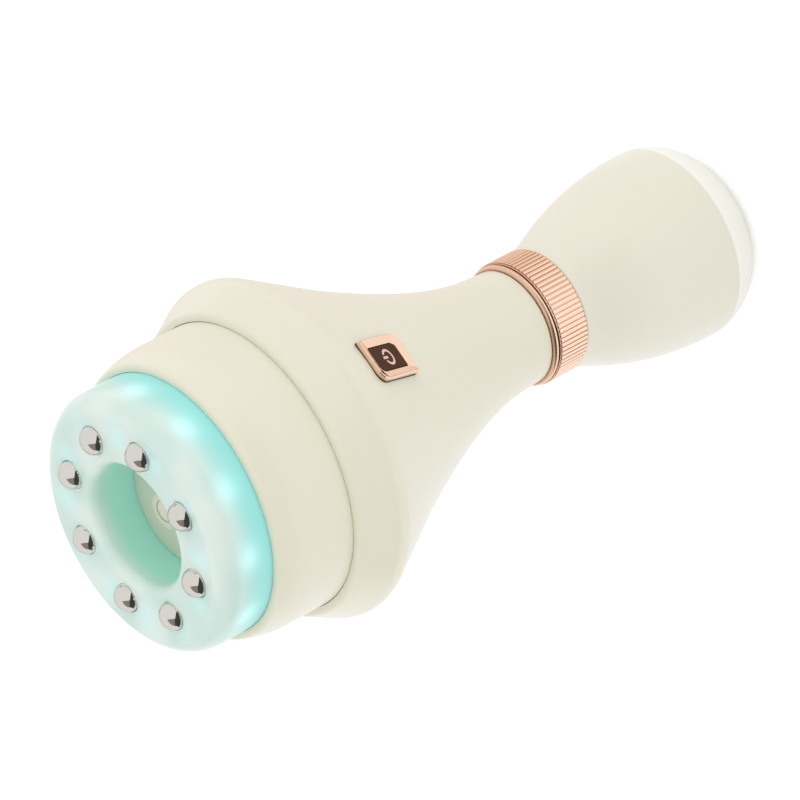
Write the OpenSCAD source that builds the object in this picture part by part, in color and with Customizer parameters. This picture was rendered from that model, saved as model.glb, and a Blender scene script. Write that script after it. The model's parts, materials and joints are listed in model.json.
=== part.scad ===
// Electric cupping massager: a glowing ring head with free steel balls round a suction cup,
// a trumpet-shaped shell, a knurled control ring at the neck and a bulb handle to hold or stand it on.
// The axis is +Z, the part stands on the flat end of the bulb, and the power button faces -Y.

/* [Bulb handle] */
// Height of the bulb, from the standing face to the control ring
bulb_h = 50; // [46:0.5:60]
// Largest diameter of the bulb
bulb_d = 46.7; // [42:0.1:56]
// Diameter of the flat face that it stands on
foot_d = 33; // [27:0.5:36]
// Radius of the rounding between the barrel and the standing face
bulb_end_r = 14; // [11:0.1:16]
// Diameter of the bulb where it meets the control ring
bulb_top_d = 29; // [28.4:0.1:29.8]
// Wall of the bulb
bulb_wall = 2.2; // [1.6:0.1:2.8]

/* [Control ring] */
// Outside diameter over the ribs
ring_d = 30; // [29:0.1:33]
// Height of the control ring
ring_h = 8.7; // [6:0.1:12]
// Number of fine axial ribs
ring_ribs = 80; // [40:1:100]
// Depth of the grooves between the ribs
rib_depth = 0.35; // [0.2:0.05:0.5]
// Diameter of the polished flange above the ring
flange_d = 29.3; // [28.4:0.1:29.6]
// Thickness of the polished flange
flange_t = 1.2; // [1.1:0.1:2]
// Gap above and below the turning ring
ring_gap = 0.2; // [0.15:0.05:0.4]

/* [Main shell] */
// Height of the trumpet shell, from the flange to the parting line
shell_h = 77.7; // [74:0.1:96]
// Largest diameter, at the soft ridge
ridge_d = 79.8; // [78.8:0.1:96]
// Diameter of the neck
neck_d = 27.5; // [27.2:0.1:30]
// Wall of the shell
shell_wall = 2.1; // [1.8:0.1:2.3]
// Height of the soft ridge below the parting line
ridge_drop = 9.3; // [8.6:0.1:12]
// Slope of the straight part of the flare, as growth in radius for each mm of height
flare_slope = 0.574; // [0.5:0.01:0.62]

/* [Front collar] */
// Diameter of the collar at the parting line
collar_d = 67.6; // [66.6:0.1:69]
// Height of the collar that shows
collar_h = 19.65; // [18:0.1:26]
// Wall of the collar
collar_wall = 2.2; // [1.6:0.1:2.6]

/* [Massage head] */
// Diameter of the head
head_d = 60.9; // [58:0.1:61.4]
// Height of the head over the collar
head_h = 13.2; // [12.5:0.1:16]
// Radius of the rounded outer edge of the head
head_edge_r = 5.7; // [3.5:0.1:6]
// Depth of the shallow dish in the face
face_dish = 0.45; // [0.2:0.05:0.8]
// Diameter of the suction mouth
mouth_d = 28.4; // [25:0.1:30]
// Diameter of a massage ball
ball_d = 6.8; // [5:0.1:7.2]
// Number of massage balls
ball_count = 8; // [6:1:9]
// Diameter of the circle that the balls sit on
ball_circle_d = 41; // [40:0.1:43]
// Depth of a ball's centre below the face
ball_sink = 0.55; // [0.1:0.05:0.6]
// Number of lamps on the light board
lamp_count = 12; // [6:3:12]
// Radius of the circle that the lamps sit on
lamp_circle_r = 23.6; // [22:0.1:24]

/* [Power button] */
// Depth of the button's centre below the shell's rim
button_drop = 23.7; // [20:0.1:26]
// Width of the button's metal frame, round the shell
bezel_w = 10.3; // [9:0.1:11.6]
// Length of the button's metal frame, along the slope
bezel_l = 16.6; // [14:0.1:17]
// Width of the frame, from its edge to the key
bezel_rim = 2.1; // [1.4:0.05:2.2]
// Height of the frame above the shell
bezel_rise = 1.1; // [0.9:0.1:1.4]
// Travel of the key
key_travel = 0.7; // [0.3:0.1:0.8]

/* [Suction] */
// Diameter of the nozzle in the cup's floor
nozzle_d = 8.8; // [7:0.1:11]
// Height of the nozzle over the cup's floor
nozzle_h = 3.4; // [2:0.1:5]
// Diameter of the air passage
air_d = 2.6; // [2:0.1:3]
// Diameter of the pump and its motor
pump_d = 24.4; // [22:0.1:24.6]
// Length of the pump's motor
motor_l = 25; // [22:0.5:27]

/* [Battery] */
// Diameter of the cell
cell_d = 18.4; // [17:0.1:18.6]
// Length of the cell
cell_l = 65; // [60:0.5:68]

/* [Hidden] */
$fn = 96;

// Clearances
fit_gap = 0.05;
slip_gap = 0.2;
ball_gap = 0.08;
slide_gap = 0.03;
big = 200;

// Levels along the axis, from the standing face up
z_ring = bulb_h + ring_gap;
z_flange = z_ring + ring_h + ring_gap;
z_neck = z_flange + flange_t;

// Stack inside the neck, from the handle's post through the cell and motor to the top of the pump
post_top = 6;
cell_z = post_top + 3.2;
cell_top = cell_z + cell_l;
tube_top = max(cell_top + 9.8, z_neck + 23.7);
foot_ring = 3;
motor_z = tube_top + foot_ring + 2;
motor_top = motor_z + motor_l;
house_h = 5.5;
skin_t = 0.8;
head_z = motor_top + house_h + skin_t;
head_t = 2.7;
pump_top = head_z + head_t;

// Levels of the shell's rim, which clears the pump, and of the parts in front of it
z_part = max(z_neck + shell_h, pump_top + 11);
button_z = z_part - button_drop;
z_seat = z_part + collar_h;
z_crown = z_seat + head_h;

// Stack of plates under the head
seat_t = 2;
seat_z = z_seat - 7.65;
board_z = seat_z + seat_t;
board_t = 1;
floor_z = z_seat + 0.75;
floor_t = 2;
ledge_z = z_seat - 0.65;
chassis_z = z_part - 2;
chassis_t = 2;

// Radii through the neck
cell_r = cell_d / 2;
tube_in_r = cell_r + 0.4;
tube_r = tube_in_r + 1.8;
sleeve_r = tube_r + fit_gap + 0.95;
neck_r = neck_d / 2;

// Colours
cream = [0.91, 0.89, 0.82];
rose_gold = [0.86, 0.60, 0.47];
copper = [0.80, 0.50, 0.30];
steel = [0.72, 0.72, 0.74];
mint = [0.80, 0.93, 0.89];
brown = [0.20, 0.09, 0.05];
board_green = [0.10, 0.35, 0.22];
dark = [0.14, 0.14, 0.15];
natural = [0.88, 0.88, 0.86];

// Points on a cubic curve with end points a, d and handles b, c
function curve(a, b, c, d, n) = [for (i = [0:n]) let (t = i / n, s = 1 - t)
    s * s * s * a + 3 * t * s * s * b + 3 * t * t * s * c + t * t * t * d];
// Points on an arc, angles from the outward radius
function arc(c, r, a1, a2, n) = [for (i = [0:n]) let (a = a1 + (a2 - a1) * i / n)
    c + r * [cos(a), sin(a)]];
// An open outline moved by w to its left
function inset(p, w) = [for (i = [0:len(p) - 1])
    let (a = p[max(i - 1, 0)], b = p[min(i + 1, len(p) - 1)], d = (b - a) / norm(b - a))
    p[i] + w * [-d[1], d[0]]];
function backwards(p) = [for (i = [len(p) - 1:-1:0]) p[i]];

module turned(p) { rotate_extrude() polygon(p); }
module tube(r1, r2, z1, z2) { translate([0, 0, z1]) difference() {
    cylinder(r = r2, h = z2 - z1);
    translate([0, 0, -1]) cylinder(r = r1, h = z2 - z1 + 2);
} }
module rod(r, z1, z2) { translate([0, 0, z1]) cylinder(r = r, h = z2 - z1); }
module round_about(n, phase, r) { for (i = [0:n - 1]) rotate([0, 0, phase + 360 * i / n])
    translate([r, 0, 0]) children(); }
// A screw on its own axis: shank from z1 up to z2, its head below z1
module screw_up(r, head_r, head_t, z1, z2) {
    rod(r, z1, z2);
    difference() {
        rod(head_r, z1 - head_t, z1);
        rod(r * 0.8, z1 - head_t - 1, z1 - head_t / 2, $fn = 6);
    }
}

// Bulb handle: a blown barrel with a faint crease round its end and a flat standing face
foot_r = foot_d / 2;
bulb_r = bulb_d / 2;
crease_a = 5;
end_x = bulb_r - bulb_end_r * cos(crease_a);
end_c = [end_x, sqrt(pow(bulb_end_r, 2) - pow(foot_r - end_x, 2))];
crease_z = end_c[1] - bulb_end_r * sin(crease_a);
foot_angle = atan2(-end_c[1], foot_r - end_c[0]);
bulb_side = concat(arc(end_c, bulb_end_r, foot_angle, -crease_a, 12),
    curve([bulb_r, crease_z], [bulb_r, crease_z + 22.6], [bulb_top_d / 2 + 0.7, bulb_h - 5.4],
        [bulb_top_d / 2, bulb_h], 28));
cap_r = foot_r - 3.4;
cap_t = 1.4;
bulb_floor = 3.8;
module handle_bulb() {
    collar_in = tube_r + slip_gap;
    low = [for (q = inset(bulb_side, bulb_wall)) if (q[1] > bulb_floor && q[1] < bulb_h - 2.4) q];
    color(cream) difference() {
        union() {
            turned(concat([[0, 0]], bulb_side, [[collar_in, bulb_h], [collar_in, bulb_h - 2.6]],
                backwards(low), [[low[0][0], bulb_floor], [0, bulb_floor]]));
            rod(7, bulb_floor - 0.1, post_top);
        }
        rod(cap_r + fit_gap, -1, cap_t + 0.2);
        rod(2.7, -1, 3.6);
        rod(1.4, -1, post_top + 1);
    }
}
// Round cap pressed into the standing face; it hides the handle screw
module base_cap() { color(cream) rod(cap_r, 0.2, cap_t + 0.2); }
module handle_screw() { color(steel) screw_up(1.25, 2.5, 1.7, 3.6, post_top + 2.4); }

// Steel cell, in the tube that joins the handle to the shell
module battery_cell() { color([0.25, 0.45, 0.65]) {
    rod(cell_r, cell_z, cell_top - 1.2);
    rod(cell_r * 0.45, cell_top - 1.3, cell_top);
} }
// Nickel strips under and over the cell
module battery_contacts() { color(steel) {
    rod(5, cell_z - 0.5, cell_z);
    rod(5, cell_top, cell_top + 0.4);
} }
flange_out = tube_r + 3;
tube_hold_r = (tube_in_r + flange_out) / 2;
module neck_tube() { color(natural) difference() {
    union() {
        rod(tube_r, post_top, tube_top);
        rod(flange_out, tube_top - 1.8, tube_top);
    }
    rod(tube_in_r, post_top + 2.6, tube_top + 1);
    rod(1.3, 0, post_top + 3);
    round_about(3, 30, tube_hold_r) rod(0.9, tube_top - 3, tube_top + 1);
} }

// Plain bearing that the control ring turns on
module bearing_sleeve() { color(natural) tube(tube_r + fit_gap, sleeve_r, bulb_h, z_flange + 0.6); }
// Polished flange with a rolled edge, over the turning ring
encoder_r1 = sleeve_r + 0.2;
encoder_r2 = encoder_r1 + 0.75;
flange_r = flange_d / 2;
module flange_ring() {
    roll = flange_t * 2 / 3;
    color(rose_gold) difference() {
        turned(concat([[tube_r + slip_gap, z_flange], [flange_r - 0.15, z_flange],
                [flange_r, z_flange + 0.15]],
            arc([flange_r - roll, z_neck - roll], roll, 0, 90, 10),
            [[tube_r + slip_gap, z_neck]]));
        rod(encoder_r2 + fit_gap, z_flange - 1, z_flange + 0.6);
    }
}
module encoder_board() { color(board_green) tube(sleeve_r + fit_gap, encoder_r2, z_flange, z_flange + 0.6); }
// Knurled ring, turned by finger and thumb
ring_r = ring_d / 2;
rim = 0.35;
pitch = 360 / ring_ribs;
module control_ring() { color(rose_gold) difference() {
    union() {
        translate([0, 0, z_ring + rim]) linear_extrude(ring_h - 2 * rim) polygon(
            [for (i = [0:ring_ribs - 1], k = [0:3]) let (a = pitch * (i + [0, 0.14, 0.5, 0.64][k]),
                r = ring_r - (k < 1 || k > 2 ? rib_depth : 0)) r * [cos(a), sin(a)]]);
        turned([[5, z_ring], [ring_r - 0.5, z_ring], [ring_r - 0.2, z_ring + 0.25],
            [ring_r - 0.2, z_ring + rim], [5, z_ring + rim]]);
        turned([[5, z_ring + ring_h], [5, z_ring + ring_h - rim], [ring_r - 0.2, z_ring + ring_h - rim],
            [ring_r - 0.2, z_ring + ring_h - 0.15], [ring_r - 0.35, z_ring + ring_h]]);
    }
    rod(sleeve_r + fit_gap, 0, big);
    tube(sleeve_r - 1, encoder_r2 + 0.05, z_ring + ring_h - 0.8, z_ring + ring_h + 1);
} }
// Sprung contact washer that turns with the ring and reads the encoder board
module ring_wiper() { color(copper)
    tube(encoder_r1, encoder_r2, z_ring + ring_h - 0.8, z_flange - 0.1); }

// Trumpet shell: neck, flare, soft ridge, sloping front band and rounded rim
collar_r = collar_d / 2;
ridge_soft = 4.5;
ridge_c = [ridge_d / 2 - ridge_soft, z_part - ridge_drop];
flare_a = atan(flare_slope);
flare_end = ridge_c + ridge_soft * [cos(flare_a), -sin(flare_a)];
flare_mid = flare_end - 17.1 * [flare_slope, 1];
band_a = 28;
rim_r = 1.5;
rim_c = [(ridge_c[0] * cos(band_a) + ridge_c[1] * sin(band_a) + ridge_soft - rim_r
    - (z_part - rim_r) * sin(band_a)) / cos(band_a), z_part - rim_r];
neck_edge = 0.4;
shell_side = concat(arc([neck_r - neck_edge, z_neck + neck_edge], neck_edge, -90, 0, 8),
    curve([neck_r, z_neck + 1.7], [neck_r + 0.8, z_neck + 6.4], flare_mid - 32.5 * [flare_slope - 0.054, 1],
        flare_mid, 36), [flare_end]);
shell_front = concat(arc(ridge_c, ridge_soft, -flare_a, band_a, 10), arc(rim_c, rim_r, band_a, 90, 6));
skirt_r = collar_r - 2.2;
step_z = z_part - 1.6;
// Radius of the straight flare at a height
function flare_r(z) = flare_end[0] - (flare_end[1] - z) * flare_slope;
// Places its children on the flare at the button: X round the shell, Z out of it
module at_button() { translate([0, -flare_r(button_z), button_z]) rotate([90 + flare_a, 0, 0]) children(); }
// Leaf outline: two corners sharp and two rounded
module leaf(w, l, soft, sharp) {
    difference() {
        square([w, l], center = true);
        for (s = [-1, 1]) {
            translate([s * w / 2, -s * l / 2]) square(2 * soft, center = true);
            translate([s * w / 2, s * l / 2]) square(2 * sharp, center = true);
        }
    }
    for (s = [-1, 1]) {
        translate([s * (w / 2 - soft), -s * (l / 2 - soft)]) circle(soft, $fn = 32);
        translate([s * (w / 2 - sharp), s * (l / 2 - sharp)]) circle(sharp, $fn = 32);
    }
}
module leaf_block(w, l, z1, z2) {
    translate([0, 0, z1]) linear_extrude(z2 - z1) leaf(w, l, w * 0.27, w * 0.07);
}
key_w = bezel_w - 2 * bezel_rim - 0.2;
key_l = bezel_l - 2 * bezel_rim - 0.8;
hole_w = key_w + 2 * 0.15;
hole_l = key_l + 2 * 0.15;
pocket = 0.9;
board_out = 7;
boss_y = bezel_l / 2 + 1.9;
port_z = z_part - 46;
port_w = 9;
port_h = 3.2;
// Stadium bar along Y, for the charging port
module slot_bar(w, h, y1, y2) { translate([0, y2, port_z]) rotate([90, 0, 0]) linear_extrude(y2 - y1) {
    square([w - h, h], center = true);
    for (s = [-1, 1]) translate([s * (w - h) / 2, 0]) circle(h / 2, $fn = 48);
} }
module main_shell() {
    inner = [for (q = inset(shell_side, shell_wall + 0.1)) if (q[1] > z_neck + 4) q];
    color(cream) difference() {
        union() {
            turned(concat([[tube_r + slip_gap, z_neck]], shell_side, shell_front,
                [[collar_r + 0.15, z_part], [collar_r + 0.15, step_z], [skirt_r + 0.15, step_z],
                [skirt_r + 0.15, step_z - 4.9]], backwards(inner),
                [[tube_r + slip_gap, z_neck + 3]]));
            at_button() for (s = [-1, 1]) translate([0, s * boss_y, 0]) rod(1.9, -board_out, -shell_wall / 2);
        }
        at_button() {
            leaf_block(bezel_w + 0.2, bezel_l + 0.2, -pocket, 6);
            leaf_block(hole_w, hole_l, -4, 1);
            for (s = [-1, 1]) translate([0, s * boss_y, 0]) rod(0.85, -board_out - 1, -board_out + 3.4);
        }
        slot_bar(port_w + 0.4, port_h + 0.4, 14, big);
        for (i = [-2:2]) translate([i * 2.4, 0, port_z + 6]) rotate([-90, 0, 0]) rod(0.6, 12, 40, $fn = 24);
    }
}

// Collar between the shell and the head, with the posts that the chassis and the cup seat screw to
swell_z = z_seat - 9.4;
swell_r = 26.7;
lip_round = 1.5;
lip_a = asin((z_seat - lip_round - swell_z) / (swell_r - lip_round));
lip_r = collar_r - swell_r + (swell_r - lip_round) * cos(lip_a);
head_r = head_d / 2;
ledge_r = head_r - 1.65;
post_r = ledge_r - 2.9;
post_phase = 29.5;
swell = arc([collar_r - swell_r, swell_z], swell_r, 0, lip_a, 9);
module front_collar() {
    inner = [for (q = inset(swell, collar_wall)) if (q[1] < ledge_z - 2.4) q];
    color(cream) difference() {
        union() {
            turned(concat([[collar_r, step_z]], swell,
                arc([lip_r, z_seat - lip_round], lip_round, lip_a + 12, 90, 6),
                [[head_r + 0.12, z_seat], [head_r + 0.12, ledge_z], [ledge_r, ledge_z],
                [ledge_r, ledge_z - 2.4]],
                backwards(inner), [[collar_r - collar_wall, step_z + 5.6],
                [skirt_r - collar_wall, step_z + 3.4], [skirt_r - collar_wall, step_z - 3.9],
                [skirt_r, step_z - 3.9], [skirt_r, step_z]]));
            round_about(3, post_phase, post_r) {
                rod(2.2, chassis_z + chassis_t, seat_z);
                translate([0, -1, chassis_z + chassis_t]) cube([collar_r - collar_wall + 0.5 - post_r, 2,
                    swell_z - chassis_z - chassis_t]);
            }
        }
        round_about(3, post_phase, post_r) rod(1.15, chassis_z, seat_z + 1);
    }
}
module collar_screws() { color(steel) round_about(3, post_phase, post_r)
    screw_up(1.05, 2, 1.3, chassis_z, seat_z + seat_t + 2.8); }

// Inner frame: front plate, two rails that carry the pump and board, and the ring on the neck tube
rail_x = pump_d / 2 + 0.4;
rail_t = 2;
rail_w = 9;
plate_r = skirt_r - collar_wall - 0.4;
wall_y = pump_d / 2 + 4;
board_low = tube_top + 14;
board_high = chassis_z - 3;
board_w = 22;
valve_y = 20;
module inner_chassis() { color(natural) difference() {
    union() {
        rod(plate_r, chassis_z, chassis_z + chassis_t);
        tube(tube_in_r - 2.6, flange_out, tube_top, tube_top + foot_ring);
        for (s = [-1, 1]) {
            translate([s * (rail_x + rail_t / 2) - rail_t / 2, -rail_w / 2, tube_top])
                cube([rail_t, rail_w, chassis_z - tube_top + 0.5]);
            for (z = [board_low + 4, board_high - 7]) {
                translate([s * (rail_x + rail_t / 2) - rail_t / 2, -wall_y, z]) cube([rail_t, wall_y, 3]);
                translate([s * (rail_x - 1) - 3, -wall_y, z]) cube([6, 1.5, 3]);
            }
        }
        translate([-5, pump_r + 0.3, tube_top + 1]) cube([10, 2.9, port_z - port_h / 2 - 2 - tube_top]);
        tube(tube_in_r - 2.6, tube_in_r - slip_gap, cell_top + 0.4, tube_top + 0.1);
    }
    rod(5, chassis_z - 1, chassis_z + chassis_t + 1);
    translate([wire_x, -wire_y, 0]) rod(1.8, chassis_z - 1, chassis_z + chassis_t + 1);
    round_about(3, post_phase, post_r) rod(1.15, chassis_z - 1, chassis_z + chassis_t + 1);
    round_about(3, 30, tube_hold_r) rod(1, tube_top - 1, tube_top + foot_ring + 1);
    at_rail_screws() rod(1, -4, 6);
    for (s = [-1, 1], z = [board_low + 5.5, board_high - 5.5])
        translate([s * (rail_x - 2.6), 0, z]) rotate([90, 0, 0]) rod(0.75, wall_y - 5, wall_y + 5);
} }
module tube_screws() { color(steel) round_about(3, 30, tube_hold_r)
    translate([0, 0, 2 * tube_top + foot_ring]) mirror([0, 0, 1])
        screw_up(0.85, 1.6, 1.1, tube_top, tube_top + foot_ring + 1.6); }

// Main board behind the button, with its chips, socket and coils
module main_board() { color(board_green) difference() {
    translate([-board_w / 2, -wall_y - 1.6, board_low]) cube([board_w, 1.6, board_high - board_low]);
    for (s = [-1, 1], z = [board_low + 5.5, board_high - 5.5])
        translate([s * (rail_x - 2.6), 0, z]) rotate([90, 0, 0]) rod(1.1, wall_y - 1, wall_y + 3);
} }
module board_parts() { color(dark) {
    mid = (board_low + board_high) / 2;
    for (p = [[-7.5, mid - 8, 5, 5], [2.6, mid - 6, 6, 6], [-9.5, mid + 5, 4, 4.5], [4.6, mid + 4, 3.4, 3.4]])
        translate([p[0], -wall_y - 2.6, p[1]]) cube([p[2], 1, p[3]]);
    for (z = [mid - 1, mid + 3]) translate([-6.5, -wall_y - 1.6, z]) rotate([90, 0, 0]) rod(1.5, 0, 1.8);
    translate([-3.5, -wall_y, board_low + 1]) cube([7, 2.6, 4]);
} }
module board_screws() { color(steel) for (s = [-1, 1], z = [board_low + 5.5, board_high - 5.5])
    translate([s * (rail_x - 2.6), -wall_y - 1.6, z]) rotate([-90, 0, 0]) screw_up(0.7, 1.5, 0.9, 0, 3); }

// Insulated wires, drawn through their corner points
wire_r = 0.6;
wire_x = 6;
wire_y = wall_y + 3.4;
module wire(p) { for (i = [0:len(p) - 2]) let (d = p[i + 1] - p[i]) translate(p[i]) {
    rotate([0, acos(d[2] / norm(d)), atan2(d[1], d[0])]) cylinder(r = wire_r, h = norm(d));
    if (i > 0) sphere(wire_r + 0.06);
} }
module battery_wires() {
    gap_z = tube_top + foot_ring + 1;
    for (s = [-1, 1]) color(s > 0 ? [0.7, 0.1, 0.1] : dark)
        wire([[3 * s, -3.2, cell_top + 0.4], [3 * s, -3.2, gap_z], [4 * s, -pump_r - 2.4, gap_z],
            [2 * s, -wall_y + 1.4, board_low - 3], [2 * s, -wall_y + 1.4, board_low + 1]]);
}
module switch_wires() {
    y = -flare_r(button_z) - 5 * sin(flare_a) + (board_out + 1) * cos(flare_a);
    z = button_z + 5 * cos(flare_a) + (board_out + 1) * sin(flare_a);
    bend = 2.5 * [cos(flare_a), sin(flare_a)];
    for (s = [-1, 1]) color(s > 0 ? [0.9, 0.9, 0.9] : dark)
        wire([[3 * s, y, z], [3 * s, y + bend[0], z + bend[1]], [3 * s, -wall_y - 1.6, z + bend[1]]]);
}
module light_wires() { for (s = [-1, 1]) color(s > 0 ? [0.8, 0.7, 0.1] : dark)
    wire([[wire_x + 0.8 * s, -wire_y, board_z], [wire_x + 0.8 * s, -wire_y, chassis_z - 5],
        [wire_x + 0.8 * s, -wall_y - 1.6, chassis_z - 5]]); }
module pump_wires() { for (s = [-1, 1]) color(s > 0 ? [0.1, 0.2, 0.7] : dark)
    wire([[8 * s, -5, motor_z], [8 * s, -5, motor_z - 1], [8 * s, -pump_r - 0.4, motor_z - 1],
        [6 * s, -wall_y + 1, board_low + 3], [6 * s, -wall_y, board_low + 3]]); }

// Charging port at the back of the neck, on its own small board
port_mouth = flare_back() - 0.9;
// Radius of the shell at the port, from the side outline
function flare_back() = lookup(port_z, [for (q = shell_side) [q[1], q[0]]]);
module usb_port() { color(steel) difference() {
    slot_bar(port_w, port_h, port_mouth - 7.3, port_mouth);
    difference() {
        slot_bar(port_w - 0.7, port_h - 0.7, port_mouth - 6.4, port_mouth + 1);
        translate([-3.3, port_mouth - 7, port_z - 0.35]) cube([6.6, 5.6, 0.7]);
    }
} }
module usb_board() { color(board_green) translate([-5, pump_r + 0.4, port_z - port_h / 2 - 1])
    cube([10, port_mouth - 4.3 - pump_r, 1]); }

// Power button: metal frame, glossy key, and the switch behind it
module button_bezel() { color(rose_gold) at_button() difference() {
    union() {
        leaf_block(bezel_w, bezel_l, -pocket, bezel_rise - 0.3);
        hull() {
            leaf_block(bezel_w, bezel_l, bezel_rise - 0.35, bezel_rise - 0.3);
            leaf_block(bezel_w - 0.5, bezel_l - 0.5, bezel_rise - 0.05, bezel_rise);
        }
    }
    leaf_block(hole_w, hole_l, -2, 3);
    hull() {
        leaf_block(hole_w, hole_l, key_top - 0.05, key_top);
        leaf_block(bezel_w - 1, bezel_l - 1, bezel_rise, bezel_rise + 0.05);
    }
} }
key_top = 0.55;
catch_z = -shell_wall - 0.75;
module button_key() { color(brown) at_button() {
    leaf_block(key_w, key_l, catch_z, key_top);
    leaf_block(key_w + 1.6, key_l + 1.6, catch_z - 0.8, catch_z);
} }
switch_top = board_out - 1.9;
module switch_plunger() { color(dark) at_button() rod(1.6, -switch_top - 0.8, catch_z - 0.8); }
module tact_switch() { color(steel) at_button() difference() {
    translate([-3, -3, -board_out]) cube([6, 6, 1.9]);
    rod(1.6 + slide_gap, -switch_top - 0.8 - key_travel - 0.1, 0);
} }
module switch_board() { color(board_green) at_button() difference() {
    translate([-4.6, -boss_y - 2.2, -board_out - 1]) cube([9.2, 2 * boss_y + 4.4, 1]);
    for (s = [-1, 1]) translate([0, s * boss_y, 0]) rod(1.1, -board_out - 2, 0);
} }
module switch_screws() { color(steel) at_button() for (s = [-1, 1]) translate([0, s * boss_y, 0])
    screw_up(0.8, 1.6, 1, -board_out - 1, -board_out + 2.8); }

// Vacuum pump: motor, crank, rubber diaphragm and valve head
pump_r = pump_d / 2;
bush_r = 3;
shaft_r = 1;
module pump_motor() { color(steel) difference() {
    rod(pump_r, motor_z, motor_top);
    rod(pump_r - 2.9, motor_z + 2.8, motor_top - 2);
    rod(bush_r + fit_gap, motor_z + 0.6, motor_z + 3);
    rod(bush_r + fit_gap, motor_top - 3, motor_top + 1);
} }
module motor_bushes() { color(copper) {
    tube(shaft_r + slide_gap, bush_r, motor_z + 0.6, motor_z + 2.6);
    tube(shaft_r + slide_gap, bush_r, motor_top - 2, motor_top);
} }
module motor_rotor() { color(copper) {
    rod(shaft_r, motor_z + 1, motor_top + 3);
    rod(pump_r - 3.6, motor_z + 4, motor_top - 6);
    rod(2.6, motor_top - 6, motor_top - 2.6);
} }
module pump_crank() { color(dark) {
    difference() {
        rod(4, motor_top + 1.6, motor_top + 3.6);
        rod(shaft_r + 0.02, motor_top, motor_top + 3);
    }
    translate([1.2, 0, 0]) rod(0.9, motor_top + 3.5, motor_top + 4.5);
} }
module at_pump_screws() { round_about(3, 90, pump_r - 1.9) children(); }
module at_rail_screws() { for (s = [-1, 1]) translate([s * rail_x, 0, motor_top + 2.8])
    rotate([0, s * 90, 0]) children(); }
module pump_housing() { color(dark) difference() {
    rod(pump_r, motor_top, motor_top + house_h);
    rod(pump_r - 4.2, motor_top + 1.2, big);
    rod(2.2, motor_top - 1, big);
    at_pump_screws() rod(0.85, motor_top + 1, big);
    at_rail_screws() rod(0.85, -3.6, 2);
} }
module pump_diaphragm() { color([0.25, 0.22, 0.2]) difference() {
    union() {
        rod(pump_r - 0.6, motor_top + house_h, head_z);
        rod(2.6, motor_top + house_h - 0.7, head_z);
    }
    at_pump_screws() rod(1, 0, big);
} }
module pump_head() { color(natural) difference() {
    union() {
        rod(pump_r, head_z, pump_top);
        rod(air_d / 2 + 0.8, pump_top, pump_top + 5);
        translate([-6.5, 0, 0]) rod(1.6, pump_top, pump_top + 3);
    }
    rod(pump_r - 5.4, head_z - 1, head_z + 1.2);
    rod(air_d / 2, head_z, big);
    translate([-6.5, 0, 0]) rod(0.8, head_z, big);
    at_pump_screws() rod(1, 0, big);
} }
module pump_screws() { color(steel) {
    at_pump_screws() translate([0, 0, pump_top]) mirror([0, 0, 1]) screw_up(0.8, 1.6, 1, 0, 7.4);
    at_rail_screws() translate([0, 0, rail_t]) mirror([0, 0, 1]) screw_up(0.8, 1.6, 1, 0, 5.4);
} }

// Air line: nozzle, silicone tubes, tee and the valve that lets the cup go
nip_r = air_d / 2 + 0.8;
hose_r = nip_r + 1.5;
tee_z = chassis_z + chassis_t + 1;
branch_z = tee_z + 3;
spigot_z = seat_z + 0.4;
module tee_fitting() { color(natural) difference() {
    union() {
        rod(nip_r, tee_z - 5, spigot_z - 0.6);
        rod(nip_r + 1.3, tee_z, tee_z + 6);
        translate([0, 0, branch_z]) rotate([-90, 0, 0]) rod(nip_r, 0, 8.6);
    }
    rod(air_d / 2, 0, big);
    translate([0, 0, branch_z]) rotate([-90, 0, 0]) rod(air_d / 2, 0, 10);
} }
valve_r = 4.6;
module air_tubes() { color([0.85, 0.87, 0.88]) {
    tube(nip_r + fit_gap, hose_r, pump_top + 0.1, tee_z - 0.1);
    tube(nip_r + fit_gap, hose_r, tee_z + 6.1, floor_z - floor_t - 0.1);
    translate([0, 0, branch_z]) rotate([-90, 0, 0])
        tube(nip_r + fit_gap, nip_r + 1.2, nip_r + 1.5, valve_y - valve_r - 0.2);
} }
core_r = 2;
plunger_top = chassis_z + chassis_t + 7.6;
module release_valve() { color([0.55, 0.57, 0.6]) difference() {
    union() {
        translate([0, valve_y, 0]) rod(valve_r, chassis_z + chassis_t, seat_z - 0.4);
        translate([0, 0, branch_z]) rotate([-90, 0, 0]) rod(nip_r, 10.2, valve_y - valve_r + 0.6);
    }
    translate([0, valve_y, 0]) rod(core_r, chassis_z + chassis_t + 2, seat_z - 2);
    translate([0, 0, branch_z]) rotate([-90, 0, 0]) rod(0.8, 8, valve_y);
} }
module valve_plunger() { color(steel) translate([0, valve_y, 0])
    rod(core_r - slide_gap, chassis_z + chassis_t + 2.2, plunger_top); }
module valve_spring() { color(steel) translate([0, valve_y, 0]) tube(1.1, 1.7, plunger_top, seat_z - 2); }

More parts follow.
